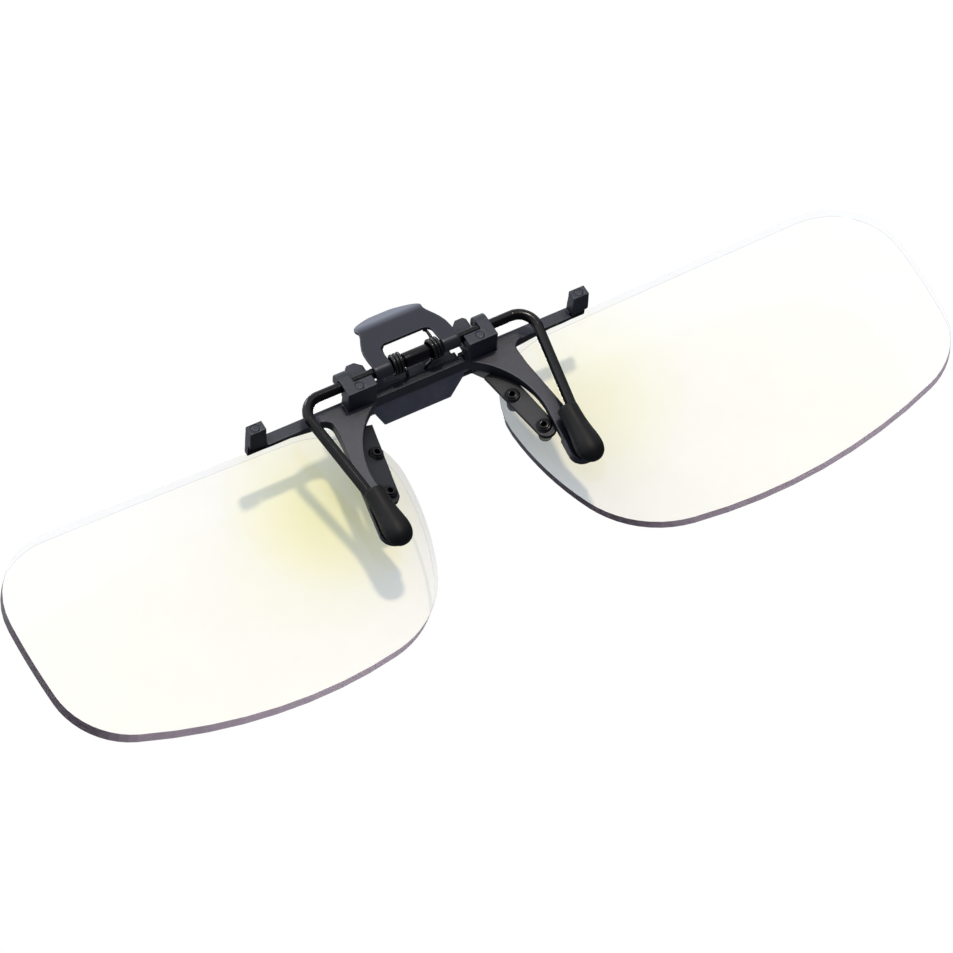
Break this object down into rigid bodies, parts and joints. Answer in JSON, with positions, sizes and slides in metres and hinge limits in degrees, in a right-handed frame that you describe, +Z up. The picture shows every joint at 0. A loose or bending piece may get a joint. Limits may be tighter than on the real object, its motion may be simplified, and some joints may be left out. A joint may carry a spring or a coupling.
{
  "type": "flip-up clip-on lenses",
  "caption": "Flip-up lens pair on a sprung nose-bridge clamp: two clear rimless lenses on a hinged bracket, thumb lever and rubber-tipped wire legs.",
  "frame": {"origin": "middle of the clamp wire's straight axle, on its axis", "axes": "+Z up as worn, -Y forward away from the wearer, +Y towards the wearer's face, +X the wearer's left"},
  "size_m": [0.1354, 0.0151, 0.0496],
  "materials": {
    "black_plastic": "satin moulded black",
    "steel": "plain stainless",
    "lens": "clear pale yellow, coated",
    "black_metal": "gloss black plated",
    "lever_metal": "satin black coated",
    "rubber": "soft matte black",
    "nylon": "translucent"
  },
  "bodies": {
    "clip": {"clip_body": "black_plastic", "hinge_cover": "black_plastic", "hinge_pin": "steel", "detent_leaf": "steel"},
    "lens_carrier": {"lens_bracket": "black_plastic", "left_lens": "lens", "right_lens": "lens", "lens_rivets": "black_metal", "rivet_washers": "black_metal", "lens_bushes": "nylon"},
    "clamp": {"clamp_wire": "black_metal", "thumb_lever": "lever_metal", "left_spring": "black_metal", "right_spring": "black_metal", "spring_tube": "black_plastic", "left_tip": "rubber", "right_tip": "rubber"}
  },
  "joints": [
    {"name": "lens_flip", "type": "hinge", "parent": "clip", "child": "lens_carrier", "pos_m": [0, -0.0081, 0.001], "axis": [-1, 0, 0], "range_deg": [0, 90], "deforming": ["detent_leaf"]},
    {"name": "clamp_open", "type": "hinge", "parent": "clip", "child": "clamp", "pos_m": [0, 0, 0], "axis": [1, 0, 0], "range_deg": [0, 35], "deforming": ["left_spring", "right_spring"]}
  ]
}
